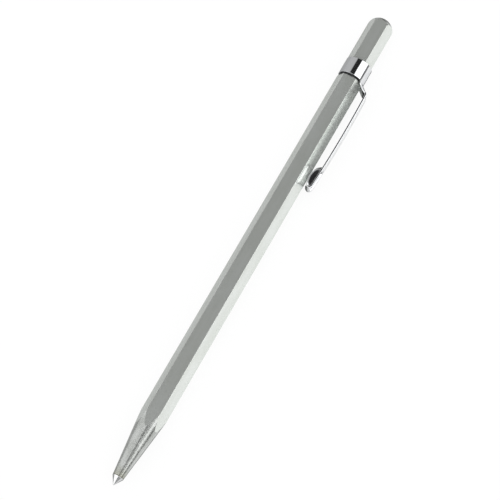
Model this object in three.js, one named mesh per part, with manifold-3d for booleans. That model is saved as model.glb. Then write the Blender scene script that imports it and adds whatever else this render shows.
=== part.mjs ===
// Pen-type scriber: a hexagonal bar with a turned nose and a brazed carbide point, and a screwed end cap
// that holds the ring of a pocket clip on its neck. Millimetres. +X runs from the point to the end cap,
// +Z is up, the bar lies on one of its flats at Z = 0 and the clip's arm stands over the bar's -Y corner.
// The origin is the middle of the bottom flat.

import * as THREE from 'three';
import { mergeVertices } from 'three/addons/utils/BufferGeometryUtils.js';
import Module from 'manifold-3d';

const wasm = await Module();
wasm.setup();

// ---- driving dimensions -------------------------------------------------------------------------------
const overallLength = 150;
const acrossFlats = 6.35;                       // quarter-inch hexagon bar
const flatRadius = acrossFlats / 2;
const cornerRadius = flatRadius / Math.cos(Math.PI / 6);
const axisHeight = flatRadius;
const pointX = -overallLength / 2;
const tailX = overallLength / 2;

// point and nose
const noseRadius = 1.53;
const pointHalfAngle = THREE.MathUtils.degToRad(32.3);
const noseHalfAngle = THREE.MathUtils.degToRad(6.65);
const pointTipRadius = 0.04;
const pointLand = 0.08;                         // straight land behind the ground cone
const brazeThickness = 0.12;
const shankRadius = 1.0;
const shankLength = 5;
const shankClearance = 0.03;
const shankChamfer = 0.2;
const shankEndGap = 0.3;                        // between the shank's end and the full width of its hole
const holeConeLength = 0.6;

// stack at the clip end, from the barrel's rear face to the cap's hexagon
const barrelRearX = 54;
const washerThickness = 0.4;
const washerOuterRadius = 3.4;
const collarLength = 5.05;
const axialPlay = 0.03;
const collarWall = 0.42;
const collarBoreRadius = 3.42;
const collarOffset = 0.17;                      // the loose ring hangs towards its arm
const neckRadius = 3.12;
const edgeChamferRadius = 3.38;                 // where the turned chamfers of bar and cap meet their end faces
const edgeChamferAngle = THREE.MathUtils.degToRad(30);

// screwed joint between cap and barrel
const spigotRadius = 1.95;
const spigotLength = 6.2;
const spigotChamfer = 0.35;
const boreRadius = 2.02;
const boreLength = 7.5;
const boreConeLength = 1;
const countersink = 0.3;
const washerClearance = 0.1;                    // between the washer and the spigot in it

// domed end of the cap
const domeRadius = 3.86;
const domeFlatRadius = 1.2;
const domeSteps = 14;
const domeRunIn = 0.1;                          // step from the cap's turned clearance to the dome

// clip arm; distances are from the bar's axis to the middle of the sheet
const armThickness = 0.42;
const armRootWidth = 4.4;
const armTipWidth = 3.5;
const armRootGap = 0.15;
const armRootX = 54.09;
const armRootBend = 0.4;                        // run of each bend on both sides of its corner
const armBendX = 51.9;
const armShoulderBend = 0.7;
const armPeakX = 41;                            // the arm bows outwards and is farthest from the bar here
const armPeak = 6.28;
const armSag = 0.0013;                          // fall of the bow per square millimetre
const hookX = 18.8;                             // corner of the end that is folded in towards the bar
const hookBend = 0.8;
const hookLean = 1.6;
const hookEnd = 4.2;
const hookCornerRadius = 0.9;
const dimpleX = 23.4;
const dimpleHalfLength = 3.8;
const dimpleHalfWidth = 1.45;
const dimpleFullness = 0.6;                     // a lower value gives the pressed boat shape fuller ends
const dimpleClearance = 0.08;                   // from the dimple's lowest point to the bar's corner
const dimpleSteps = 24;
const bendSteps = 8;
const bowSteps = 16;

const turnedSegments = 96;
const fineSegments = 48;
const weldDistance = 1e-5;
const cutMargin = 1;                            // how far a cutting shape reaches past what it cuts
const joinOverlap = 1;                          // how far the cap's stem runs on inside its hexagon
const cornerClearance = 0.4;                    // turned outlines stand this far outside the bar's corners

// ---- stations worked out from the above ---------------------------------------------------------------
const pointBaseX = pointX + (noseRadius - pointTipRadius) / Math.tan(pointHalfAngle);
const shoulderX = pointBaseX + pointLand;
const noseX = shoulderX + brazeThickness;
const washerX = barrelRearX + axialPlay;
const neckX = washerX + washerThickness + axialPlay;
const collarX = neckX;
const collarRearX = collarX + collarLength;
const capX = collarRearX + axialPlay;
const collarWallMiddle = collarBoreRadius + collarWall / 2 + collarOffset;

// ---- solids -------------------------------------------------------------------------------------------
function toSolid(geometry) {
  const bare = geometry.index ? geometry.toNonIndexed() : geometry.clone();
  bare.deleteAttribute('normal');
  bare.deleteAttribute('uv');
  const welded = mergeVertices(bare, weldDistance);
  const corners = welded.index.array;
  const kept = [];
  for (let i = 0; i < corners.length; i += 3) {
    const [a, b, c] = [corners[i], corners[i + 1], corners[i + 2]];
    if (a !== b && b !== c && c !== a) kept.push(a, b, c);
  }
  return new wasm.Manifold(new wasm.Mesh({
    numProp: 3,
    vertProperties: new Float32Array(welded.attributes.position.array),
    triVerts: new Uint32Array(kept),
  }));
}

function toGeometry(solid) {
  const mesh = solid.getMesh();
  const geometry = new THREE.BufferGeometry();
  geometry.setAttribute('position', new THREE.BufferAttribute(new Float32Array(mesh.vertProperties), 3));
  geometry.setIndex(new THREE.BufferAttribute(new Uint32Array(mesh.triVerts), 1));
  geometry.computeVertexNormals();
  return geometry;
}

// A turned body about the bar's axis. Each outline point is [station along X, radius].
function turned(outline, segments = turnedSegments) {
  const points = outline.map(([x, radius]) => new THREE.Vector2(radius, x));
  const geometry = new THREE.LatheGeometry(points, segments);
  geometry.rotateZ(-Math.PI / 2);
  return toSolid(geometry);
}

// A closed ring about the bar's axis between two stations.
function ring(startX, endX, innerRadius, outerRadius, segments = turnedSegments) {
  return turned([
    [startX, innerRadius],
    [startX, outerRadius],
    [endX, outerRadius],
    [endX, innerRadius],
    [startX, innerRadius],
  ], segments);
}

// A hexagonal prism about the bar's axis, flats at top and bottom.
function hexagonBar(startX, endX) {
  const outline = new THREE.Shape();
  for (let corner = 0; corner < 6; corner += 1) {
    const angle = Math.PI / 2 + corner * Math.PI / 3;
    const place = [cornerRadius * Math.cos(angle), cornerRadius * Math.sin(angle)];
    if (corner === 0) outline.moveTo(...place);
    else outline.lineTo(...place);
  }
  outline.closePath();
  const geometry = new THREE.ExtrudeGeometry(outline, { depth: endX - startX, bevelEnabled: false });
  geometry.rotateY(Math.PI / 2);
  geometry.translate(startX, 0, 0);
  return toSolid(geometry);
}

// Length along X that a turned chamfer takes to run out over the corners, up to a radius past them.
const clearRadius = cornerRadius + cornerClearance;
const chamferRun = (clearRadius - edgeChamferRadius) * Math.tan(edgeChamferAngle);

// ---- the pieces ---------------------------------------------------------------------------------------
function barrel() {
  const noseRun = (clearRadius - noseRadius) / Math.tan(noseHalfAngle);
  const turning = turned([
    [noseX, 0],
    [noseX, noseRadius],
    [noseX + noseRun, clearRadius],
    [barrelRearX - chamferRun, clearRadius],
    [barrelRearX, edgeChamferRadius],
    [barrelRearX, 0],
  ]);
  const pointHole = turned([
    [noseX - cutMargin, 0],
    [noseX - cutMargin, shankRadius + shankClearance],
    [shoulderX + shankLength + shankEndGap, shankRadius + shankClearance],
    [shoulderX + shankLength + shankEndGap + holeConeLength, 0],
  ], fineSegments);
  const tappedHole = turned([
    [barrelRearX - boreLength - boreConeLength, 0],
    [barrelRearX - boreLength, boreRadius],
    [barrelRearX - countersink, boreRadius],
    [barrelRearX + cutMargin, boreRadius + countersink + cutMargin],
    [barrelRearX + cutMargin, 0],
  ], fineSegments);
  const bar = hexagonBar(noseX - cutMargin, barrelRearX + cutMargin);
  return bar.intersect(turning).subtract(pointHole).subtract(tappedHole);
}

function carbidePoint() {
  return turned([
    [pointX, 0],
    [pointX, pointTipRadius],
    [pointBaseX, noseRadius],
    [shoulderX, noseRadius],
    [shoulderX, shankRadius],
    [shoulderX + shankLength - shankChamfer, shankRadius],
    [shoulderX + shankLength, shankRadius - shankChamfer],
    [shoulderX + shankLength, 0],
  ], fineSegments);
}

function brazeRing() {
  return ring(shoulderX, noseX, shankRadius + shankClearance, noseRadius, fineSegments);
}

function washer() {
  return ring(washerX, washerX + washerThickness, boreRadius + washerClearance, washerOuterRadius);
}

// The dome is an arc of a sphere that ends in a small flat face.
function domeOutline() {
  const centreX = tailX - Math.sqrt(domeRadius ** 2 - domeFlatRadius ** 2);
  const startAngle = Math.PI / 2;
  const endAngle = Math.asin(domeFlatRadius / domeRadius);
  const points = [];
  for (let step = 0; step <= domeSteps; step += 1) {
    const angle = THREE.MathUtils.lerp(startAngle, endAngle, step / domeSteps);
    points.push([centreX + domeRadius * Math.cos(angle), domeRadius * Math.sin(angle)]);
  }
  return points;
}

function endCap() {
  const dome = domeOutline();
  const turning = turned([
    [capX, 0],
    [capX, edgeChamferRadius],
    [capX + chamferRun, clearRadius],
    [dome[0][0] - domeRunIn, clearRadius],
    ...dome,
    [tailX, 0],
  ]);
  const stem = turned([
    [neckX - spigotLength, 0],
    [neckX - spigotLength, spigotRadius - spigotChamfer],
    [neckX - spigotLength + spigotChamfer, spigotRadius],
    [neckX, spigotRadius],
    [neckX, neckRadius],
    [capX + joinOverlap, neckRadius],
    [capX + joinOverlap, 0],
  ]);
  return hexagonBar(capX, tailX + cutMargin).intersect(turning).add(stem);
}

function clipCollar() {
  return ring(collarX, collarRearX, collarBoreRadius, collarBoreRadius + collarWall);
}

// Distance of the bowed part of the arm from the bar's axis.
function armDistance(x) {
  return armPeak - armSag * (x - armPeakX) ** 2;
}

// Middle line of the clip's sheet seen from the side: [station along X, distance from the bar's axis].
function armMiddleLine() {
  const start = new THREE.Vector2(collarX - armRootGap, collarWallMiddle);
  const root = new THREE.Vector2(armRootX, collarWallMiddle);
  const bend = new THREE.Vector2(armBendX, armDistance(armBendX));
  const hook = new THREE.Vector2(hookX, armDistance(hookX));
  const end = new THREE.Vector2(hookX + hookLean, hookEnd);
  const slopeAtBend = -2 * armSag * (armBendX - armPeakX);
  const bowControl = new THREE.Vector2((bend.x + hook.x) / 2, bend.y - slopeAtBend * (bend.x - hook.x) / 2);
  const bow = new THREE.QuadraticBezierCurve(bend, bowControl, hook);
  const towards = (from, to, run) => from.clone().add(to.clone().sub(from).setLength(run));
  const bowStart = armShoulderBend / bow.getLength();
  const bowEnd = 1 - hookBend / bow.getLength();
  const line = [start];
  const turn = (before, corner, after) => {
    line.push(...new THREE.QuadraticBezierCurve(before, corner, after).getPoints(bendSteps));
  };
  turn(towards(root, start, (start.x - root.x) / 2), root, towards(root, bend, armRootBend));
  turn(towards(bend, root, armShoulderBend), bend, bow.getPointAt(bowStart));
  for (let step = 1; step < bowSteps; step += 1) {
    line.push(bow.getPointAt(THREE.MathUtils.lerp(bowStart, bowEnd, step / bowSteps)));
  }
  turn(bow.getPointAt(bowEnd), hook, towards(hook, end, hookBend));
  line.push(end);
  return line;
}

// Closed side outline of a sheet of even thickness along a middle line.
function sheetOutline(middle, thickness) {
  const side = (sign) => middle.map((point, i) => {
    const before = middle[Math.max(i - 1, 0)];
    const after = middle[Math.min(i + 1, middle.length - 1)];
    const along = after.clone().sub(before).normalize();
    return new THREE.Vector2(point.x - sign * along.y * thickness / 2, point.y + sign * along.x * thickness / 2);
  });
  return new THREE.Shape([...side(1), ...side(-1).reverse()]);
}

// The arm seen from outside: it narrows towards its folded end.
function armPlan() {
  return new THREE.Shape([
    new THREE.Vector2(collarX + cutMargin, -armRootWidth / 2),
    new THREE.Vector2(collarX + cutMargin, armRootWidth / 2),
    new THREE.Vector2(hookX - cutMargin, armTipWidth / 2),
    new THREE.Vector2(hookX - cutMargin, -armTipWidth / 2),
  ]);
}

// What is cut off one corner of the folded end to make it round.
function hookCorner(side) {
  const outside = armTipWidth / 2 + cutMargin;
  const centre = [side * (armTipWidth / 2 - hookCornerRadius), hookEnd + hookCornerRadius];
  const outline = new THREE.Shape();
  outline.moveTo(centre[0], hookEnd - cutMargin);
  outline.lineTo(centre[0], hookEnd);
  outline.absarc(...centre, hookCornerRadius, -Math.PI / 2, side > 0 ? 0 : -Math.PI, side < 0);
  outline.lineTo(side * outside, centre[1]);
  outline.lineTo(side * outside, hookEnd - cutMargin);
  outline.closePath();
  const block = new THREE.ExtrudeGeometry(outline, { depth: 2 * hookLean, bevelEnabled: false });
  block.rotateY(Math.PI / 2);
  block.translate(hookX - hookLean / 2, 0, 0);
  return toSolid(block);
}

// The boat shape pressed into the arm, as a solid: flat sides, and a depth that fades out at both ends.
function boat(halfLength, depth, halfWidth) {
  const top = armDistance(dimpleX) + armThickness / 2;
  const outline = [];
  for (let step = 0; step <= dimpleSteps; step += 1) {
    const share = -Math.cos(Math.PI * step / dimpleSteps);
    const pressed = depth * (1 - share ** 2) ** dimpleFullness;
    outline.push(new THREE.Vector2(dimpleX + halfLength * share, top - pressed));
  }
  const geometry = new THREE.ExtrudeGeometry(new THREE.Shape(outline), {
    depth: 2 * halfWidth,
    bevelEnabled: false,
  });
  geometry.translate(0, 0, -halfWidth);
  return toSolid(geometry);
}

// The arm is drawn with its outer side towards +Y, then turned over to stand at -Y.
function clipArm() {
  const sheet = new THREE.ExtrudeGeometry(sheetOutline(armMiddleLine(), armThickness), {
    depth: armRootWidth + cutMargin,
    bevelEnabled: false,
  });
  sheet.translate(0, 0, -(armRootWidth + cutMargin) / 2);
  const plan = new THREE.ExtrudeGeometry(armPlan(), { depth: 2 * armPeak, bevelEnabled: false });
  plan.rotateX(-Math.PI / 2);
  const strip = toSolid(sheet).intersect(toSolid(plan)).subtract(hookCorner(1)).subtract(hookCorner(-1));

  const depth = armDistance(dimpleX) + armThickness / 2 - cornerRadius - dimpleClearance;
  const pressed = boat(dimpleHalfLength, depth, dimpleHalfWidth);
  const hollow = boat(dimpleHalfLength - armThickness, depth - armThickness, dimpleHalfWidth - armThickness);
  return strip.add(pressed).subtract(hollow).rotate([180, 0, 0]);
}

// ---- the assembly -------------------------------------------------------------------------------------
const steel = { color: 0x9fa29e, roughness: 0.35, metalness: 1 };
const plated = { color: 0xd2d5d6, roughness: 0.12, metalness: 1 };
const carbide = { color: 0xb4b6b5, roughness: 0.25, metalness: 1 };
const braze = { color: 0xa69a63, roughness: 0.4, metalness: 1 };
const blackFibre = { color: 0x1c1c1c, roughness: 0.8, metalness: 0 };

function piece(name, solid, finish) {
  const mesh = new THREE.Mesh(toGeometry(solid), new THREE.MeshStandardMaterial(finish));
  mesh.name = name;
  return mesh;
}

const clip = new THREE.Group();
const collar = piece('clip_collar', clipCollar(), plated);
collar.position.y = -collarOffset;
clip.add(collar, piece('clip_arm', clipArm(), plated));

const scriber = new THREE.Group();
scriber.position.z = axisHeight;
scriber.add(
  piece('barrel', barrel(), steel),
  piece('carbide_point', carbidePoint(), carbide),
  piece('braze_ring', brazeRing(), braze),
  piece('washer', washer(), blackFibre),
  piece('end_cap', endCap(), steel),
  clip,
);

export default scriber;
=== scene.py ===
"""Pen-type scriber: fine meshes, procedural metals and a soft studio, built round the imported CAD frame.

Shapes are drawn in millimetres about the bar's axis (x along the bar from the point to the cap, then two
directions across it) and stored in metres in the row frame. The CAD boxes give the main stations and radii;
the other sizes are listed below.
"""

import math

import bpy
import numpy as np
from mathutils import Matrix, Vector


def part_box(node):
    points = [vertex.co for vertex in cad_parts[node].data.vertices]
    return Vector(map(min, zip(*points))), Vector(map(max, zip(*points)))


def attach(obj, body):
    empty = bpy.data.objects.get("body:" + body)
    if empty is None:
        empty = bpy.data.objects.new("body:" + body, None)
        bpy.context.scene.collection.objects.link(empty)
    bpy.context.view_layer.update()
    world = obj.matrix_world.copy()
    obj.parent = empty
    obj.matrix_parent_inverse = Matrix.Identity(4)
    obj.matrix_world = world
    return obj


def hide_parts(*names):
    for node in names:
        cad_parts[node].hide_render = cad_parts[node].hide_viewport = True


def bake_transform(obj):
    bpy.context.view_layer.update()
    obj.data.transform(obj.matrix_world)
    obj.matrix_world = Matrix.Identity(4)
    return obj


MM = 0.001
SIXTH = math.pi / 3

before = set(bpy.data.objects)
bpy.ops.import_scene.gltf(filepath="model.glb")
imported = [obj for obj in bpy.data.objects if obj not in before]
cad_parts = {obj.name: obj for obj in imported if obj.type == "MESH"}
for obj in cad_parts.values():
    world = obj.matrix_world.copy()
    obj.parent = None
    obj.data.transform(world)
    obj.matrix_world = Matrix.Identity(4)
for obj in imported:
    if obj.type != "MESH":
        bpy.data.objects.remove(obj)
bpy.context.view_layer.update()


# ---- sizes read from the frame, in millimetres ----------------------------------------------------------
def node_box(node):
    low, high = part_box(node)
    return np.array(low) / MM, np.array(high) / MM


BARREL_LOW, BARREL_HIGH = node_box("barrel")
POINT_LOW, POINT_HIGH = node_box("carbide_point")
BRAZE_LOW, BRAZE_HIGH = node_box("braze_ring")
WASHER_LOW, WASHER_HIGH = node_box("washer")
CAP_LOW, CAP_HIGH = node_box("end_cap")
COLLAR_LOW, COLLAR_HIGH = node_box("clip_collar")

AXIS_Z = (BARREL_HIGH[2] + BARREL_LOW[2]) / 2
FLAT = (BARREL_HIGH[2] - BARREL_LOW[2]) / 2
CORNER = FLAT / math.cos(math.pi / 6)
NOSE_R = (BRAZE_HIGH[2] - BRAZE_LOW[2]) / 2
COLLAR_R = (COLLAR_HIGH[2] - COLLAR_LOW[2]) / 2
COLLAR_SHIFT = (COLLAR_HIGH[1] + COLLAR_LOW[1]) / 2
WASHER_R = (WASHER_HIGH[2] - WASHER_LOW[2]) / 2
STACK_PLAY = 0.03

NOSE_X = BARREL_LOW[0]
REAR_X = BARREL_HIGH[0]
TIP_X = POINT_LOW[0]
TAIL_X = CAP_HIGH[0]
SHOULDER_X = BRAZE_LOW[0]
COLLAR_X = COLLAR_LOW[0]
CAP_X = COLLAR_HIGH[0] + STACK_PLAY

# sizes that the boxes don't show, as in the CAD part
NOSE_HALF_ANGLE = math.radians(6.65)
POINT_LAND = 0.08
POINT_TIP_R = 0.04
SHANK_R = 1.0
SHANK_CHAMFER = 0.2
SHANK_HOLE_R = 1.03
SHANK_HOLE_LENGTH = 5.3
SHANK_HOLE_CONE = 0.6
BRAZE_SINK = 0.02
BRAZE_CROWN = 0.015
END_FACE_R = 3.38
CHAMFER_ANGLE = math.radians(30)
TURNING_CLEARANCE = 0.3
NECK_R = 3.12
WASHER_HOLE_CLEARANCE = 0.17
SHEET = 0.42
COLLAR_WALL = 0.42
DOME_R = 3.86
DOME_FLAT_R = 1.2
ARM_ROOT_W = 4.4
ARM_TIP_W = 3.5
ARM_FLARE = 0.6
DIMPLE_X = 23.4
DIMPLE_HALF_L = 3.8
DIMPLE_HALF_W = 1.45
DIMPLE_WALL = 0.24
DIMPLE_FULLNESS = 0.6
DIMPLE_SQUARENESS = 6
DIMPLE_CLEARANCE = 0.08
ARM_ROOT_X = 54.22
ARM_ROOT_BEND = 0.22
ARM_BEND_X = 51.9
ARM_SHOULDER_BEND = 1.1
ARM_PEAK_X = 41.0
ARM_PEAK = 6.28
ARM_SAG = 0.0013
ARM_CROWN_R = 60.0
ARM_FLATTENS_FROM = 2.0
ARM_FLATTENS_OVER = 2.2
ARM_STEP = 0.35
BOW_FACING = 0.8
EDGE_CREASE = 0.85
HOOK_X = 18.8
HOOK_LEAN = 1.6
HOOK_BEND = 0.8
HOOK_END = 4.2
HOOK_CORNER_R = 0.9
COLLAR_MIDDLE = COLLAR_R - COLLAR_WALL / 2 - COLLAR_SHIFT

# the screw: the stub's thread and the barrel's, which keeps a little clear of it
PITCH = 0.7
STUB_R = 1.95
THREAD_DEPTH = 0.38
THREAD_CLEARANCE = 0.06
THREAD_LEAD = 0.1
THREAD_RUNOUT = 0.45
STUB_CHAMFER = 0.15
BORE_LENGTH = 7.5
BORE_CONE = 1.0
COUNTERSINK = 0.3

# fineness of the meshes
ARC_STEPS = 22
FILLET_STEPS = 3
FLAT_STEPS = 2
RUNOUT_STEPS = 14
THREAD_STEPS = 12
DOME_STEPS = 12
RING_STEPS = 73
EDGE_FILLET = 0.07
BROKEN_EDGE = 0.05
CRISP_EDGE = 0.02


# ---- mesh builder ---------------------------------------------------------------------------------------
class Skin:
    """Grids of faces that meet along shared places. Every face corner keeps its own exact normal."""

    def __init__(self):
        self.places = []
        self.normals = []
        self.wear = []
        self.faces = []
        self.slots = []

    def grid(self, rows, slots):
        """rows: (places, normals, wear) of each closed row. slots: material of each column of each band."""
        first = sum(len(places) for places in self.places)
        count = len(rows[0][0])
        for places, normals, wear in rows:
            self.places.append(places)
            self.normals.append(normals)
            self.wear.append(np.broadcast_to(wear, count))
        for band in range(len(rows) - 1):
            a = first + band * count
            b = a + count
            for j in range(count):
                k = (j + 1) % count
                self.faces.append((a + j, b + j, b + k, a + k))
            self.slots.extend(np.broadcast_to(slots[band], count).tolist())

    def mesh(self, name, materials):
        places = np.concatenate(self.places)
        normals = np.concatenate(self.normals)
        wear = np.concatenate(self.wear)
        _, keep, spot = np.unique(np.round(places, 5), axis=0, return_index=True, return_inverse=True)
        spot = spot.ravel()
        faces, corner_normals, slots = [], [], []
        for face, face_slot in zip(self.faces, self.slots):
            ring = []
            for corner in face:
                if spot[corner] not in [spot[other] for other in ring]:
                    ring.append(corner)
            if len(ring) > 2:
                faces.append([int(spot[corner]) for corner in ring])
                corner_normals.extend(normals[ring])
                slots.append(face_slot)
        mesh = bpy.data.meshes.new(name)
        world = places[keep] * MM + np.array([0, 0, AXIS_Z * MM])
        mesh.from_pydata(world.tolist(), [], faces)
        mesh.polygons.foreach_set("material_index", slots)
        mesh.polygons.foreach_set("use_smooth", [True] * len(faces))
        worn = mesh.attributes.new("edge_wear", "FLOAT", "POINT")
        worn.data.foreach_set("value", wear[keep].astype(np.float32))
        for material in materials:
            mesh.materials.append(material)
        mesh.normals_split_custom_set(corner_normals)
        return mesh


def show(mesh, name, body, slot, *stands_for):
    """Puts a finished mesh in the scene as a piece that rides on a body in place of CAD nodes."""
    piece = bpy.data.objects.new(name, mesh)
    bpy.context.scene.collection.objects.link(piece)
    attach(piece, body)
    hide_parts(*stands_for)
    return piece


def unit(vectors):
    return vectors / np.maximum(np.linalg.norm(vectors, axis=-1, keepdims=True), 1e-12)


# ---- outlines: lists of stations (x, radius, normal along x, normal outwards, wear) ----------------------
def rounded(points, fillet=EDGE_FILLET, closed=False):
    """The outline through points of (x, radius) or (x, radius, own fillet), with each corner rounded.

    The outside is on the left of the direction of travel, seen with x to the right and the radius upwards.
    """
    places = [np.array(point[:2], float) for point in points]
    fillets = [point[2] if len(point) > 2 else fillet for point in points]
    count = len(points)

    def outward(a, b):
        along = unit(b - a)
        return np.array([-along[1], along[0]])

    stations = []
    for i, here in enumerate(places):
        has_before = closed or i > 0
        has_after = closed or i < count - 1
        first = outward(places[i - 1], here) if has_before else None
        second = outward(here, places[(i + 1) % count]) if has_after else first
        first = second if first is None else first
        turn = math.acos(float(np.clip(first @ second, -1, 1)))
        if turn < 1e-4 or fillets[i] == 0:
            stations.append((*here, *first, 0.0))
            if turn >= 1e-4:
                stations.append((*here, *second, 0.0))
            continue
        convex = 1 if first[0] * second[1] - first[1] * second[0] < 0 else -1
        backwards = unit(places[i - 1] - here)
        pivot = here + backwards * fillets[i] * math.tan(turn / 2) - convex * first * fillets[i]
        for step in range(FILLET_STEPS + 1):
            share = step / FILLET_STEPS
            normal = unit(first * math.sin((1 - share) * turn) + second * math.sin(share * turn))
            worn = 1.0 if convex > 0 and 0 < step < FILLET_STEPS else 0.0
            stations.append((*(pivot + convex * normal * fillets[i]), *normal, worn))
    if closed:
        stations.append(stations[0])
    return stations


def cut_at(stations, radii):
    """Adds a station wherever the outline crosses one of the radii."""
    out = [stations[0]]
    for a, b in zip(stations, stations[1:]):
        a, b = np.array(a), np.array(b)
        shares = sorted((r - a[1]) / (b[1] - a[1]) for r in radii if (r - a[1]) * (b[1] - r) > 0)
        out += [tuple(a + (b - a) * share) for share in shares]
        out.append(tuple(b))
    return out


# ---- sections: one closed row of places round the axis ---------------------------------------------------
def around(x, radius, angle):
    """Angle 0 is +Z and grows towards +Y."""
    x, radius, angle = np.broadcast_arrays(x, radius, angle)
    return np.stack([x, radius * np.sin(angle), radius * np.cos(angle)], axis=-1)


def section(station, hexagonal):
    """One row where a turned outline meets the six flats of the bar, with a small round between the two.

    A sixth of the row is a flat, a round, an arc of the turned circle and a round, in that order.
    """
    x, radius, normal_x, normal_r, worn = station
    fillet = EDGE_FILLET
    inset, inner = FLAT - fillet, radius - fillet
    half = 0.0
    if hexagonal and inner > inset:
        half = min(math.acos(inset / inner), SIXTH / 2)
    if half == SIXTH / 2:
        normal_x, normal_r, inner = 0.0, 1.0, inset / math.cos(half)
    rounding = np.arange(1, FILLET_STEPS + 1) / FILLET_STEPS
    arc = half + (SIXTH - 2 * half) * np.arange(1, ARC_STEPS + 1) / ARC_STEPS
    level = np.full(FLAT_STEPS + 1, FLAT if half > 0 else radius)
    turn = np.concatenate([0 * level, half * rounding, arc, SIXTH - half * (1 - rounding)])
    share = np.concatenate([0 * level, rounding, 1 + 0 * arc, 1 - rounding]) if half > 0 else 1 + 0 * turn
    pivots = np.concatenate([half + 0 * rounding, arc, SIXTH - half + 0 * rounding])
    up = np.concatenate([level, inner * np.cos(pivots) + fillet * np.cos(turn[len(level):])])
    flat_across = inset * math.tan(half) * np.linspace(-1, 1, FLAT_STEPS + 1)
    across = np.concatenate([flat_across, inner * np.sin(pivots) + fillet * np.sin(turn[len(level):])])
    on_round = (share > 0) & (share < 1)
    sides = np.arange(6)[:, None] * SIXTH
    places = around(x, up, sides) + around(0, across, sides + math.pi / 2)
    tilt_x = (share * normal_x)[None, :, None] * np.array([1.0, 0, 0])
    lean = (1 - share + share * normal_r)[None, :]
    normals = unit(tilt_x + around(0, lean, sides + turn))
    wear = np.tile(np.where(on_round, 1.0, worn), 6)
    return places.reshape(-1, 3), normals.reshape(-1, 3), wear


def column_slots(flat_slot, turned_slot):
    """Material of each column of a section: flats and their rounds are drawn, arcs are turned."""
    one = [flat_slot] * (FLAT_STEPS + FILLET_STEPS) + [turned_slot] * ARC_STEPS
    return np.array((one + [flat_slot] * (FILLET_STEPS + 1)) * 6)


def column_angles():
    """Angles of the columns of a plain round section."""
    places = section((0, 1, 0, 1, 0), False)[0]
    return np.arctan2(places[:, 1], places[:, 2])


def hexagonal_rows(stations):
    """Rows of a hexagonal piece, closely spaced where the turned outline runs out over the flats."""
    turns = [SIXTH / 2 * step / RUNOUT_STEPS for step in range(RUNOUT_STEPS + 1)]
    bands = [(FLAT - EDGE_FILLET) / math.cos(turn) + EDGE_FILLET for turn in turns]
    stations = cut_at(stations, bands)
    return [section(station, True) for station in stations], stations


def thread_rows(start, end, crest, inside):
    """Rows of the right-hand thread between two stations. It fades out over half a pitch at each end."""
    steps = int(round(abs(end - start) / PITCH * THREAD_STEPS))
    angles = column_angles()
    low, high = min(start, end), max(start, end)

    def radius(x, angle):
        off_crest = np.abs(2 * ((x / PITCH + angle / (2 * math.pi)) % 1) - 1)
        form = np.clip((0.875 - off_crest) / 0.75, 0, 1)
        fade = np.clip(np.minimum(x - low, high - x) / (PITCH / 2), 0, 1)
        valley = (1 - form) * fade if inside else 1 - form * fade
        return crest - THREAD_DEPTH * valley

    rows = []
    tiny = 1e-3
    facing = -1 if inside else 1
    for x in np.linspace(start, end, steps + 1):
        r = radius(x, angles)
        slope_x = (radius(x + tiny, angles) - radius(x - tiny, angles)) / (2 * tiny)
        slope_turn = (radius(x, angles + tiny) - radius(x, angles - tiny)) / (2 * tiny) / r
        normals = around(-slope_x, 1, angles) - around(0, slope_turn, angles + math.pi / 2)
        rows.append((around(x, r, angles), facing * unit(normals), 0.0))
    return rows


# ---- procedural materials --------------------------------------------------------------------------------
STEEL_DARK = (0.735, 0.765, 0.725, 1)
STEEL_LIGHT = (0.79, 0.82, 0.79, 1)
WORN_STEEL = (0.88, 0.89, 0.88, 1)
TURNED_DARK = (0.46, 0.475, 0.455, 1)
TURNED_LIGHT = (0.56, 0.575, 0.56, 1)
BRASSY_STEEL = (0.34, 0.34, 0.26, 1)
STEEL_ROUGHNESS = 0.18
STEEL_METALLIC = 0.65
TURNED_METALLIC = 0.75
TURNED_ANISOTROPY = 0.75
BRASSY_LENGTH = 2.6
BRASSY_SHARE = 0.6
WEAR_SHARE = 0.5


def add(tree, kind, inputs=None, **settings):
    node = tree.nodes.new(kind)
    for key, value in settings.items():
        setattr(node, key, value)
    for key, value in (inputs or {}).items():
        if isinstance(value, bpy.types.NodeSocket):
            tree.links.new(value, node.inputs[key])
        else:
            node.inputs[key].default_value = value
    return node


def math_node(tree, operation, *values):
    node = add(tree, "ShaderNodeMath", dict(enumerate(values)), operation=operation)
    return node.outputs[0]


def remap(tree, value, low, high, new_low=0.0, new_high=1.0):
    inputs = {"Value": value, "From Min": low, "From Max": high, "To Min": new_low, "To Max": new_high}
    return add(tree, "ShaderNodeMapRange", inputs).outputs[0]


def mix_colour(tree, share, first, second):
    node = add(tree, "ShaderNodeMix", data_type="RGBA")
    for key, value in ((0, share), (6, first), (7, second)):
        if isinstance(value, bpy.types.NodeSocket):
            tree.links.new(value, node.inputs[key])
        else:
            node.inputs[key].default_value = value
    return node.outputs[2]


def start_material(name):
    """An empty material with its Principled shader, and the place in millimetres about the bar's axis."""
    material = bpy.data.materials.new(name)
    material.use_nodes = True
    tree = material.node_tree
    tree.nodes.clear()
    shader = add(tree, "ShaderNodeBsdfPrincipled")
    output = add(tree, "ShaderNodeOutputMaterial")
    tree.links.new(shader.outputs[0], output.inputs["Surface"])
    spot = add(tree, "ShaderNodeTexCoord").outputs["Object"]
    centred = add(tree, "ShaderNodeVectorMath", {0: spot, 1: (0, 0, -AXIS_Z * MM)}, operation="ADD")
    place = add(tree, "ShaderNodeVectorMath", {0: centred.outputs[0], "Scale": 1 / MM}, operation="SCALE")
    return material, tree, shader, place.outputs[0]


def stretched_noise(tree, place, stretch, detail=2.0, roughness=0.5):
    """Noise whose features are 1 / stretch millimetres long in each direction."""
    scaled = add(tree, "ShaderNodeVectorMath", {0: place, 1: stretch}, operation="MULTIPLY")
    inputs = {"Vector": scaled.outputs[0], "Scale": 1.0, "Detail": detail, "Roughness": roughness}
    return add(tree, "ShaderNodeTexNoise", inputs).outputs[0]


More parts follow.
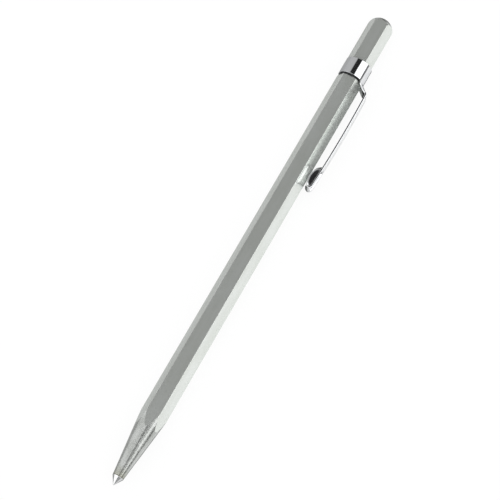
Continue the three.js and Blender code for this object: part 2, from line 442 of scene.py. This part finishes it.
def bump(tree, shader, height, depth_mm, before=None):
    inputs = {"Height": height, "Strength": 1.0, "Distance": depth_mm * MM}
    if before is not None:
        inputs["Normal"] = before
    normal = add(tree, "ShaderNodeBump", inputs).outputs[0]
    tree.links.new(normal, shader.inputs["Normal"])
    return normal


def split_place(tree, place):
    """x along the bar and the distance from its axis."""
    parts = add(tree, "ShaderNodeSeparateXYZ", {0: place}).outputs
    across = add(tree, "ShaderNodeCombineXYZ", {"Y": parts[1], "Z": parts[2]}).outputs[0]
    radius = add(tree, "ShaderNodeVectorMath", {0: across}, operation="LENGTH").outputs["Value"]
    return parts[0], radius


def wear_share(tree):
    worn = add(tree, "ShaderNodeAttribute", attribute_name="edge_wear").outputs["Fac"]
    return math_node(tree, "MULTIPLY", worn, WEAR_SHARE)


def drawn_steel():
    """Satin plated bar: fine lines along its length, faint patches, and brighter rubbed corners."""
    material, tree, shader, place = start_material("drawn_steel")
    lines = stretched_noise(tree, place, (0.05, 7.0, 7.0), 4.0, 0.65)
    patches = stretched_noise(tree, place, (0.10, 0.45, 0.45), 3.0)
    colour = mix_colour(tree, remap(tree, patches, 0.35, 0.65), STEEL_DARK, STEEL_LIGHT)
    colour = mix_colour(tree, wear_share(tree), colour, WORN_STEEL)
    tree.links.new(colour, shader.inputs["Base Color"])
    rough = remap(tree, lines, 0.3, 0.7, STEEL_ROUGHNESS - 0.04, STEEL_ROUGHNESS + 0.04)
    tree.links.new(rough, shader.inputs["Roughness"])
    shader.inputs["Metallic"].default_value = STEEL_METALLIC
    first = bump(tree, shader, lines, 0.0012)
    bump(tree, shader, patches, 0.004, first)
    return material


def turned_steel():
    """Lathe-cut plated steel: rings round the axis, uneven tool marks, and a brassy wash by the braze."""
    material, tree, shader, place = start_material("turned_steel")
    along, radius = split_place(tree, place)
    ring = math_node(tree, "ADD", along, radius)
    parts = add(tree, "ShaderNodeSeparateXYZ", {0: place}).outputs
    spiral = add(tree, "ShaderNodeCombineXYZ", {"X": ring, "Y": parts[1], "Z": parts[2]}).outputs[0]
    rings = stretched_noise(tree, spiral, (9.0, 0.25, 0.25), 3.0, 0.6)
    chatter = stretched_noise(tree, spiral, (2.4, 1.8, 1.8), 2.0)
    patches = stretched_noise(tree, place, (0.3, 0.6, 0.6), 3.0)
    colour = mix_colour(tree, remap(tree, patches, 0.35, 0.65), TURNED_DARK, TURNED_LIGHT)
    wash = remap(tree, along, NOSE_X + BRASSY_LENGTH, NOSE_X, 0.0, BRASSY_SHARE)
    colour = mix_colour(tree, wash, colour, BRASSY_STEEL)
    colour = mix_colour(tree, wear_share(tree), colour, WORN_STEEL)
    tree.links.new(colour, shader.inputs["Base Color"])
    rough = remap(tree, chatter, 0.35, 0.65, 0.18, 0.28)
    tree.links.new(rough, shader.inputs["Roughness"])
    shader.inputs["Metallic"].default_value = TURNED_METALLIC
    shader.inputs["Anisotropic"].default_value = TURNED_ANISOTROPY
    shader.inputs["Anisotropic Rotation"].default_value = 0.25
    round_bar = add(tree, "ShaderNodeTangent", direction_type="RADIAL", axis="X")
    tree.links.new(round_bar.outputs[0], shader.inputs["Tangent"])
    first = bump(tree, shader, rings, 0.004)
    bump(tree, shader, chatter, 0.045, first)
    return material


def bright_plate():
    """Bright plated sheet with faint waviness and fine handling scratches."""
    material, tree, shader, place = start_material("bright_plate")
    waves = stretched_noise(tree, place, (0.5, 0.9, 0.9), 1.0)
    scratches = stretched_noise(tree, place, (0.5, 14.0, 14.0), 3.0, 0.7)
    colour = mix_colour(tree, remap(tree, waves, 0.3, 0.7), (0.80, 0.81, 0.83, 1), (0.86, 0.87, 0.88, 1))
    tree.links.new(colour, shader.inputs["Base Color"])
    tree.links.new(remap(tree, scratches, 0.35, 0.75, 0.05, 0.14), shader.inputs["Roughness"])
    shader.inputs["Metallic"].default_value = 1.0
    first = bump(tree, shader, waves, 0.01)
    bump(tree, shader, scratches, 0.0008, first)
    return material


def ground_carbide():
    """Dense grey carbide with fine grinding rings."""
    material, tree, shader, place = start_material("ground_carbide")
    along, radius = split_place(tree, place)
    ring = add(tree, "ShaderNodeCombineXYZ", {"X": math_node(tree, "ADD", along, radius)}).outputs[0]
    rings = stretched_noise(tree, ring, (16.0, 1.0, 1.0), 3.0, 0.6)
    grains = stretched_noise(tree, place, (12.0, 12.0, 12.0), 3.0)
    colour = mix_colour(tree, remap(tree, grains, 0.3, 0.7), (0.62, 0.63, 0.63, 1), (0.74, 0.75, 0.75, 1))
    tree.links.new(colour, shader.inputs["Base Color"])
    tree.links.new(remap(tree, rings, 0.3, 0.7, 0.16, 0.26), shader.inputs["Roughness"])
    shader.inputs["Metallic"].default_value = 1.0
    first = bump(tree, shader, rings, 0.006)
    bump(tree, shader, grains, 0.002, first)
    return material


def brass_filler():
    """Dull brass-coloured braze, slightly lumpy."""
    material, tree, shader, place = start_material("brass_filler")
    lumps = stretched_noise(tree, place, (3.0, 3.0, 3.0), 3.0)
    colour = mix_colour(tree, remap(tree, lumps, 0.3, 0.7), (0.17, 0.165, 0.11, 1), (0.25, 0.24, 0.165, 1))
    tree.links.new(colour, shader.inputs["Base Color"])
    tree.links.new(remap(tree, lumps, 0.3, 0.7, 0.35, 0.5), shader.inputs["Roughness"])
    shader.inputs["Metallic"].default_value = 1.0
    bump(tree, shader, lumps, 0.03)
    return material


def black_fibre():
    """Matt black washer with a fine fibrous grain; its black is also painted shade for the gap between barrel
    and collar.
    """
    material, tree, shader, place = start_material("black_fibre")
    grain = stretched_noise(tree, place, (9.0, 5.0, 5.0), 4.0, 0.7)
    # near-black: the washer's own colour, and also painted shade for the gap between barrel and collar
    colour = mix_colour(tree, remap(tree, grain, 0.3, 0.7), (0.006, 0.006, 0.006, 1), (0.02, 0.02, 0.021, 1))
    tree.links.new(colour, shader.inputs["Base Color"])
    tree.links.new(remap(tree, grain, 0.3, 0.7, 0.6, 0.85), shader.inputs["Roughness"])
    bump(tree, shader, grain, 0.01)
    return material


DRAWN = drawn_steel()
TURNED = turned_steel()
PLATE = bright_plate()


# ---- the pieces ------------------------------------------------------------------------------------------
def bar_slots(stations):
    """Material of each band of a hexagonal piece: flats are drawn only where it runs along the bar."""
    columns = column_slots(0, 1)
    slots = []
    for a, b in zip(stations, stations[1:]):
        along_bar = min(a[3], b[3]) > 0.2
        slots.append(columns if along_bar else np.ones(len(columns), int))
    return slots


def chamfer_run(radius):
    return (radius - END_FACE_R) * math.tan(CHAMFER_ANGLE)


def build_barrel():
    """Nose hole, nose, hexagon, rear chamfer and tapped hole, as one closed skin."""
    clear = CORNER + TURNING_CLEARANCE
    hole_end = NOSE_X + SHANK_HOLE_LENGTH
    crest = STUB_R + THREAD_CLEARANCE
    bore_start, bore_end = REAR_X - COUNTERSINK, REAR_X - BORE_LENGTH
    outside = rounded([
        (hole_end + SHANK_HOLE_CONE, 0),
        (hole_end, SHANK_HOLE_R),
        (NOSE_X, SHANK_HOLE_R, CRISP_EDGE),
        (NOSE_X, NOSE_R, BROKEN_EDGE),
        (NOSE_X + (clear - NOSE_R) / math.tan(NOSE_HALF_ANGLE), clear, 0),
        (REAR_X - chamfer_run(clear), clear, 0),
        (REAR_X, END_FACE_R, BROKEN_EDGE),
        (REAR_X, crest + COUNTERSINK, BROKEN_EDGE),
        (bore_start, crest, 0.03),
        (bore_start - THREAD_LEAD, crest, 0),
    ])
    rows, stations = hexagonal_rows(outside)
    skin = Skin()
    skin.grid(rows, bar_slots(stations))
    thread = thread_rows(bore_start - THREAD_LEAD, bore_end, crest, True)
    skin.grid(thread, [1] * (len(thread) - 1))
    bottom = rounded([(bore_end, crest, 0), (bore_end - BORE_CONE, 0)])
    skin.grid([section(station, False) for station in bottom], [1] * (len(bottom) - 1))
    mesh = skin.mesh("hex_barrel", [DRAWN, TURNED])
    return show(mesh, "hex_barrel", "barrel", "satin_steel", "barrel")


def dome_points():
    """The domed end of the cap: an arc of a sphere that stops at a small flat."""
    centre = TAIL_X - math.sqrt(DOME_R ** 2 - DOME_FLAT_R ** 2)
    last = math.asin(DOME_FLAT_R / DOME_R)
    points = []
    for angle in np.linspace(math.pi / 2, last, DOME_STEPS + 1):
        along, outwards = math.cos(angle), math.sin(angle)
        points.append((centre + DOME_R * along, DOME_R * outwards, along, outwards, 0.0))
    return points


def build_cap():
    """Threaded stub, neck, hexagon and dome, as one closed skin."""
    root = STUB_R - THREAD_DEPTH
    thread_start = CAP_LOW[0] + STUB_CHAMFER
    thread_end = COLLAR_X - THREAD_RUNOUT
    tip = rounded([(CAP_LOW[0], 0), (CAP_LOW[0], root - STUB_CHAMFER, BROKEN_EDGE), (thread_start, root, 0)])
    skin = Skin()
    skin.grid([section(station, False) for station in tip], [1] * (len(tip) - 1))
    thread = thread_rows(thread_start, thread_end, STUB_R, False)
    skin.grid(thread, [1] * (len(thread) - 1))
    dome = dome_points()
    outline = rounded([
        (thread_end, root, 0),
        (COLLAR_X, root, 0.08),
        (COLLAR_X, NECK_R, 0.1),
        (CAP_X, NECK_R, BROKEN_EDGE),
        (CAP_X, END_FACE_R, BROKEN_EDGE),
        (CAP_X + chamfer_run(DOME_R), DOME_R, 0),
        (dome[0][0], DOME_R, 0),
    ])
    flat = [(TAIL_X, DOME_FLAT_R, 1.0, 0.0, 0.0), (TAIL_X, 0.0, 1.0, 0.0, 0.0)]
    rows, stations = hexagonal_rows(outline[:-1] + dome + flat)
    skin.grid(rows, bar_slots(stations))
    mesh = skin.mesh("hex_end_cap", [DRAWN, TURNED])
    return show(mesh, "hex_end_cap", "end_cap", "satin_steel", "end_cap")


def build_turned_piece(name, outline, material, body, slot, node):
    """A round piece of one material that stands for one CAD node."""
    skin = Skin()
    skin.grid([section(station, False) for station in outline], [0] * (len(outline) - 1))
    return show(skin.mesh(name, [material]), name, body, slot, node)


def build_point():
    """The ground point with its shank, which sits in the nose."""
    outline = rounded([
        (TIP_X, 0),
        (TIP_X, POINT_TIP_R, CRISP_EDGE),
        (SHOULDER_X - POINT_LAND, NOSE_R, BROKEN_EDGE),
        (SHOULDER_X, NOSE_R, CRISP_EDGE),
        (SHOULDER_X, SHANK_R, CRISP_EDGE),
        (POINT_HIGH[0] - SHANK_CHAMFER, SHANK_R),
        (POINT_HIGH[0], SHANK_R - SHANK_CHAMFER),
        (POINT_HIGH[0], 0),
    ])
    return build_turned_piece("ground_point", outline, ground_carbide(), "barrel", "carbide", "carbide_point")


def build_braze():
    """The thin seam between point and nose, slightly crowned."""
    middle = (SHOULDER_X + NOSE_X) / 2
    outline = rounded([
        (SHOULDER_X, SHANK_HOLE_R, 0.01),
        (SHOULDER_X, NOSE_R - BRAZE_SINK, 0.01),
        (middle, NOSE_R + BRAZE_CROWN, BROKEN_EDGE),
        (NOSE_X, NOSE_R - BRAZE_SINK, 0.01),
        (NOSE_X, SHANK_HOLE_R, 0.01),
    ], closed=True)
    return build_turned_piece("braze_seam", outline, brass_filler(), "barrel", "braze", "braze_ring")


def build_washer():
    """The flat black washer in front of the clip's ring, whose black also paints the shade of the gap by the
    collar.
    """
    inner = STUB_R + WASHER_HOLE_CLEARANCE
    outline = rounded([
        (WASHER_LOW[0], inner, 0.04),
        (WASHER_LOW[0], WASHER_R, 0.08),
        (WASHER_HIGH[0], WASHER_R, 0.08),
        (WASHER_HIGH[0], inner, 0.04),
    ], closed=True)
    return build_turned_piece("black_washer_and_gap_shade", outline, black_fibre(), "washer", "black_fibre", "washer")


def arm_height(x):
    """Distance from the bar's axis to the middle of the sheet along the bowed part of the arm."""
    return ARM_PEAK - ARM_SAG * (x - ARM_PEAK_X) ** 2


def arm_path():
    """Middle line of the clip's sheet from the collar's front edge to the hooked end, closely spaced.

    Returns places (x, distance from the bar's axis) and the directions away from the axis.
    """
    bend, hook = arm_height(ARM_BEND_X), arm_height(HOOK_X)
    corners = rounded([
        (COLLAR_X, COLLAR_MIDDLE),
        (ARM_ROOT_X, COLLAR_MIDDLE, ARM_ROOT_BEND),
        (ARM_BEND_X, bend, ARM_SHOULDER_BEND),
        (HOOK_X, hook, HOOK_BEND),
        (HOOK_X + HOOK_LEAN, HOOK_END),
    ])
    stations = []
    for a, b in zip(corners, corners[1:]):
        a, b = np.array(a[:4]), np.array(b[:4])
        steps = max(1, int(math.ceil(np.linalg.norm(b[:2] - a[:2]) / ARM_STEP)))
        stations += [a + (b - a) * step / steps for step in range(steps)]
    stations.append(np.array(corners[-1][:4]))
    path = np.array(stations)
    share = np.clip((ARM_BEND_X - path[:, 0]) / (ARM_BEND_X - HOOK_X), 0, 1)
    path[:, 1] += ARM_SAG * (ARM_BEND_X - HOOK_X) ** 2 * share * (1 - share)
    return path[:, :2], -unit(path[:, 2:4])


def arm_widths(places):
    """Half width of the arm along its path: a flare into the collar, a taper and rounded end corners."""
    lengths = np.concatenate([[0], np.cumsum(np.linalg.norm(np.diff(places, axis=0), axis=1))])
    total = lengths[-1]
    half = (ARM_ROOT_W + (ARM_TIP_W - ARM_ROOT_W) * lengths / total) / 2
    inside = np.clip(ARM_FLARE - lengths, 0, ARM_FLARE)
    half = half + (ARM_FLARE - np.sqrt(ARM_FLARE ** 2 - inside ** 2))
    end = np.clip(lengths - (total - HOOK_CORNER_R), 0, HOOK_CORNER_R)
    half = half - (HOOK_CORNER_R - np.sqrt(HOOK_CORNER_R ** 2 - end ** 2))
    return half, lengths


def smooth(share):
    """0 to 1 with a gentle start and end."""
    share = np.clip(share, 0, 1)
    return share * share * (3 - 2 * share)


def dimple_depth(x, across):
    """How far the pressed dimple pushes the sheet towards the bar: a boat with steep sides."""
    full = arm_height(DIMPLE_X) - SHEET / 2 - CORNER - DIMPLE_CLEARANCE
    share = min(abs(x - DIMPLE_X) / DIMPLE_HALF_L, 1)
    boat = (1 - share ** 2) ** DIMPLE_FULLNESS
    half_width = DIMPLE_HALF_W * (1 - share ** DIMPLE_SQUARENESS) ** (2 / DIMPLE_SQUARENESS)
    return full * boat * smooth((half_width - abs(across)) / DIMPLE_WALL)


def build_clip():
    """One sheet: a ring whose front edge runs on into the arm. Thickness and edges come from modifiers."""
    sheet_places, faces = [], []
    index = {}

    def corner(place):
        key = tuple(np.round(place, 4))
        if key not in index:
            index[key] = len(sheet_places)
            sheet_places.append(place)
        return index[key]

    def add_grid(rows, closed=False):
        for a, b in zip(rows, rows[1:]):
            count = len(a)
            for j in range(count if closed else count - 1):
                k = (j + 1) % count
                ring = [corner(p) for p in (a[j], a[k], b[k], b[j])]
                ring = list(dict.fromkeys(ring))
                if len(ring) > 2:
                    faces.append(ring)

    places, outwards = arm_path()
    half, lengths = arm_widths(places)
    wall = DIMPLE_HALF_W / (ARM_TIP_W / 2)
    middle_columns = np.linspace(0.1, 0.5, 4)
    wall_columns = np.linspace(wall - 0.21, wall + 0.05, 10)
    one_side = [*middle_columns, *wall_columns, 0.94, 1]
    spread = np.array([-share for share in one_side[::-1]] + one_side)
    wall_radius = COLLAR_R - COLLAR_WALL / 2
    rows = []
    for place, outward, width, length in zip(places, outwards, half, lengths):
        bending = smooth((length - ARM_FLATTENS_FROM) / ARM_FLATTENS_OVER)
        curve = (1 - bending) / wall_radius + bending / ARM_CROWN_R
        angle = spread * width * curve
        across = np.sin(angle) / curve
        drop = (1 - np.cos(angle)) / curve
        press = dimple_depth(place[0], across) if outward[1] > BOW_FACING else 0 * across
        reach = place[1] - outward[1] * (drop + press)
        along = place[0] - outward[0] * (drop + press)
        rows.append(np.stack([along, -reach, across], axis=-1))
    add_grid(rows)

    arm_half_angle = half[0] / wall_radius
    arm_angles = spread * arm_half_angle
    rest = np.linspace(arm_half_angle, 2 * math.pi - arm_half_angle, RING_STEPS)[1:-1]
    ring_angles = np.concatenate([arm_angles, rest])
    y = COLLAR_SHIFT - wall_radius * np.cos(ring_angles)
    z = wall_radius * np.sin(ring_angles)
    length = COLLAR_HIGH[0] - COLLAR_LOW[0]
    edge, inset = 0.12, 0.5
    stations = [0, edge, *np.linspace(inset, length - inset, 6), length - edge, length]
    ring_rows = [np.stack([COLLAR_X + station + 0 * y, y, z], axis=-1) for station in stations]
    add_grid(ring_rows[::-1], closed=True)

    mesh = bpy.data.meshes.new("clip_sheet")
    world = np.array(sheet_places) * MM + np.array([0, 0, AXIS_Z * MM])
    mesh.from_pydata(world.tolist(), [], faces)
    draft = bpy.data.objects.new("clip_draft", mesh)
    bpy.context.scene.collection.objects.link(draft)
    thick = draft.modifiers.new("thickness", "SOLIDIFY")
    thick.thickness = SHEET * MM
    thick.offset = 0
    thick.use_even_offset = True
    thick.edge_crease_inner = thick.edge_crease_outer = EDGE_CREASE
    finer = draft.modifiers.new("rounding", "SUBSURF")
    finer.levels = finer.render_levels = 2
    bpy.context.view_layer.update()
    graph = bpy.context.evaluated_depsgraph_get()
    final = bpy.data.meshes.new_from_object(draft.evaluated_get(graph))
    bpy.data.objects.remove(draft)
    final.name = "pocket_clip"
    final.polygons.foreach_set("use_smooth", [True] * len(final.polygons))
    final.materials.clear()
    final.materials.append(PLATE)
    clip = bpy.data.objects.new("pocket_clip", final)
    bpy.context.scene.collection.objects.link(clip)
    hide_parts("clip_collar", "clip_arm")
    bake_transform(clip)
    return clip


build_barrel()
build_point()
build_braze()
build_washer()
build_cap()
build_clip()


# ---- studio ----------------------------------------------------------------------------------------------
# brightness round the bar's axis, in degrees from overhead towards the clip's side, for reflections that
# lean towards the cap, run square across the bar, or lean towards the point
TENT_STRENGTH = 1.8
TENT_AHEAD = [
    (-180, 0.28), (-95, 0.28), (-60, 0.28), (-31, 0.27), (-24, 0.01), (11, 0.01), (18, 1.0),
    (69, 1.0), (76, 0.1), (94, 0.1), (100, 0.4), (125, 0.4), (140, 0.9), (180, 0.9),
]
TENT_LEVEL = [
    (-180, 0.33), (-95, 0.42), (-80, 0.66), (2, 0.66), (6, 0.02), (37, 0.02), (43, 0.2), (48, 0.85),
    (57, 0.85), (63, 0.12), (71, 0.03), (98, 0.03), (106, 0.15), (180, 0.15),
]
TENT_BEHIND = [
    (-180, 0.3), (-100, 0.4), (-80, 1.0), (8, 1.0), (20, 0.2), (180, 0.2),
]
# how far a reflection leans along the bar where one of these takes over from the one before
AHEAD_FROM = (0.07, 0.15)
BEHIND_FROM = (-0.4, -0.55)
STEEPER_FROM = (-0.75, -0.85)
REAR_FROM = (0.6, 0.75)
REAR_TONE = (0.03, 0.03, 0.03, 1)

# the floor, in metres; its mirrored tones are shares of white and carry painted shade and a painted light
# strip
FLOOR_HALF_SIZE = 2.0
FLOOR_GAP = 0.00002
MIRRORED_SHADE_TURNS_AT = (0.004, -0.004)
# painted shade under the bar and the clip, seen only in reflections
SHADE_BAND_MIDDLE = -0.0005
SHADE_BAND_EDGE = (0.0038, 0.0058)
SHADE_BAND_ENDS_AT = (0.0185, 0.0198)
SHADE_BAND_TONES = (0.5, 0.15)
# painted light: a bright strip beside the arm, seen only in reflections
LIT_STRIP_NEAR = (0.0062, 0.0066)
LIT_STRIP_FAR = (0.0095, 0.0085)
LIT_STRIP_ENDS_AT = (0.0537, 0.053)
LIT_STRIP_GAIN = 1.3
# painted shade: reflections of the floor are greyer behind the bar than on the clip's side
MIRRORED_SHADE_SIDE_TONES = (0.42, 0.9)
FLOOR_SHADE = 0.1
FLOOR_LIT = 0.95

SOFTBOX_SIZE = (1.4, 0.62)
SOFTBOX_WATTS = 0.6
SOFTBOX_LEAN = 44
SOFTBOX_AHEAD = 0.25
SOFTBOX_DISTANCE = 0.75

CAMERA_TILT = 20.0
CAMERA_SIDE = 10.5
CAMERA_SLOPE = 59.7
CAMERA_DISTANCE = 0.52
CAMERA_LENS = 142.35
CAMERA_SHIFT = (-0.0108, -0.0163)


def ramp(tree, value, stops):
    """A grey ramp over -180 to 180 degrees from (degrees, brightness) stops."""
    node = add(tree, "ShaderNodeValToRGB", {0: remap(tree, value, -180.0, 180.0)})
    elements = node.color_ramp.elements
    while len(elements) > 1:
        elements.remove(elements[-1])
    for i, (degrees, level) in enumerate(stops):
        element = elements[0] if i == 0 else elements.new((degrees + 180) / 360)
        element.position = (degrees + 180) / 360
        element.color = (level, level, level, 1)
    return node.outputs[0]


def build_world():
    """A soft tent whose reflections change round the bar's axis, and also along it."""
    world = bpy.data.worlds.new("studio")
    bpy.context.scene.world = world
    world.use_nodes = True
    tree = world.node_tree
    tree.nodes.clear()
    direction = add(tree, "ShaderNodeTexCoord").outputs["Generated"]
    parts = add(tree, "ShaderNodeSeparateXYZ", {0: direction}).outputs
    lean = math_node(tree, "ARCTAN2", math_node(tree, "MULTIPLY", parts[1], -1.0), parts[2])
    degrees = math_node(tree, "DEGREES", lean)
    ahead = ramp(tree, degrees, TENT_AHEAD)
    level = ramp(tree, degrees, TENT_LEVEL)
    behind = ramp(tree, degrees, TENT_BEHIND)
    tent = mix_colour(tree, remap(tree, parts[0], *AHEAD_FROM), level, ahead)
    tent = mix_colour(tree, remap(tree, parts[0], *BEHIND_FROM), tent, behind)
    tent = mix_colour(tree, remap(tree, parts[0], *STEEPER_FROM), tent, level)
    tent = mix_colour(tree, remap(tree, parts[0], *REAR_FROM), tent, REAR_TONE)
    mirrored = add(tree, "ShaderNodeBackground", {0: tent, 1: TENT_STRENGTH})
    pale = add(tree, "ShaderNodeBackground", {0: (1, 1, 1, 1), 1: 1.0})
    glossy = add(tree, "ShaderNodeLightPath").outputs["Is Glossy Ray"]
    mixed = add(tree, "ShaderNodeMixShader", {0: glossy, 1: pale.outputs[0], 2: mirrored.outputs[0]})
    output = add(tree, "ShaderNodeOutputWorld")
    tree.links.new(mixed.outputs[0], output.inputs["Surface"])


def build_floor():
    """A plain white sheet just under the collar.

    In reflections it carries painted shade, greyer behind the bar than on the clip's side and dark under the
    bar and the clip, and a painted light strip, brightest beside the arm.
    """
    level = (AXIS_Z - COLLAR_R) * MM - FLOOR_GAP
    signs = [(-1, -1), (1, -1), (1, 1), (-1, 1)]
    corners = [(x * FLOOR_HALF_SIZE, y * FLOOR_HALF_SIZE, level) for x, y in signs]
    mesh = bpy.data.meshes.new("floor")
    mesh.from_pydata(corners, [], [(0, 1, 2, 3)])
    floor = bpy.data.objects.new("floor", mesh)
    bpy.context.scene.collection.objects.link(floor)
    material = bpy.data.materials.new("white_sheet_painted_reflections")
    material.use_nodes = True
    tree = material.node_tree
    tree.nodes.clear()
    shaded = add(tree, "ShaderNodeBsdfDiffuse", {0: (FLOOR_SHADE, FLOOR_SHADE, FLOOR_SHADE, 1)})
    glow = add(tree, "ShaderNodeEmission", {0: (1, 1, 1, 1), 1: 1.0 - FLOOR_SHADE * FLOOR_LIT})
    seen = add(tree, "ShaderNodeAddShader", {0: shaded.outputs[0], 1: glow.outputs[0]})
    place = add(tree, "ShaderNodeTexCoord").outputs["Object"]
    parts = add(tree, "ShaderNodeSeparateXYZ", {0: place}).outputs
    # painted shade in reflections: greyer behind the bar than on the clip's side
    painted_mirror_tone = remap(tree, parts[1], *MIRRORED_SHADE_TURNS_AT, *MIRRORED_SHADE_SIDE_TONES)
    off_middle = math_node(tree, "ABSOLUTE", math_node(tree, "SUBTRACT", parts[1], SHADE_BAND_MIDDLE))
    # painted shade in reflections: a dark band under the bar and the clip
    painted_shade_tone = remap(tree, parts[0], *SHADE_BAND_ENDS_AT, *SHADE_BAND_TONES)
    painted_mirror_tone = math_node(tree, "MULTIPLY", painted_mirror_tone, remap(tree, off_middle, *SHADE_BAND_EDGE, painted_shade_tone, 1.0))
    # painted light in reflections: a brighter strip beside the arm
    beyond, before = remap(tree, off_middle, *LIT_STRIP_NEAR), remap(tree, off_middle, *LIT_STRIP_FAR)
    painted_light_strip = math_node(tree, "MULTIPLY", beyond, before)
    painted_light_strip = math_node(tree, "MULTIPLY", painted_light_strip, remap(tree, parts[0], *LIT_STRIP_ENDS_AT))
    painted_mirror_tone = math_node(tree, "MULTIPLY", painted_mirror_tone, remap(tree, painted_light_strip, 0.0, 1.0, 1.0, LIT_STRIP_GAIN))
    tone = add(tree, "ShaderNodeCombineColor", {0: painted_mirror_tone, 1: painted_mirror_tone, 2: painted_mirror_tone})
    mirrored = add(tree, "ShaderNodeBsdfDiffuse", {0: tone.outputs[0]})
    glossy = add(tree, "ShaderNodeLightPath").outputs["Is Glossy Ray"]
    mixed = add(tree, "ShaderNodeMixShader", {0: glossy, 1: seen.outputs[0], 2: mirrored.outputs[0]})
    output = add(tree, "ShaderNodeOutputMaterial")
    tree.links.new(mixed.outputs[0], output.inputs["Surface"])
    mesh.materials.append(material)


def build_softbox():
    """A large soft light above the clip's side."""
    light = bpy.data.lights.new("softbox", "AREA")
    light.shape = "RECTANGLE"
    light.size, light.size_y = SOFTBOX_SIZE
    light.energy = SOFTBOX_WATTS
    lamp = bpy.data.objects.new("softbox", light)
    bpy.context.scene.collection.objects.link(lamp)
    lean = math.radians(SOFTBOX_LEAN)
    towards = Vector((SOFTBOX_AHEAD, -math.sin(lean), math.cos(lean))).normalized()
    lamp.location = towards * SOFTBOX_DISTANCE
    lamp.rotation_euler = (-towards).to_track_quat("-Z", "Y").to_euler()


def build_camera():
    """A view from above the point end and a little to the clip's side, with the bar upright and leaning."""
    tilt, side_turn = math.radians(CAMERA_TILT), math.radians(CAMERA_SIDE)
    back = Vector((
        -math.sin(tilt),
        -math.cos(tilt) * math.sin(side_turn),
        math.cos(tilt) * math.cos(side_turn),
    ))
    bar = Vector((1, 0, 0))
    bar = (bar - bar.dot(back) * back).normalized()
    across = back.cross(bar)
    slope = math.radians(CAMERA_SLOPE)
    right = math.cos(slope) * bar - math.sin(slope) * across
    up = math.sin(slope) * bar + math.cos(slope) * across
    middle = Vector(((TIP_X + TAIL_X) / 2 * MM, 0, AXIS_Z * MM))
    camera = bpy.data.cameras.new("camera")
    camera.sensor_width = 36
    camera.lens = CAMERA_LENS
    camera.clip_start = 0.01
    camera.shift_x, camera.shift_y = CAMERA_SHIFT
    holder = bpy.data.objects.new("camera", camera)
    bpy.context.scene.collection.objects.link(holder)
    turn = Matrix((right, up, back)).transposed()
    holder.matrix_world = Matrix.Translation(middle + back * CAMERA_DISTANCE) @ turn.to_4x4()
    bpy.context.scene.camera = holder


build_world()
build_floor()
build_softbox()
build_camera()
bpy.context.scene.view_settings.view_transform = "Standard"
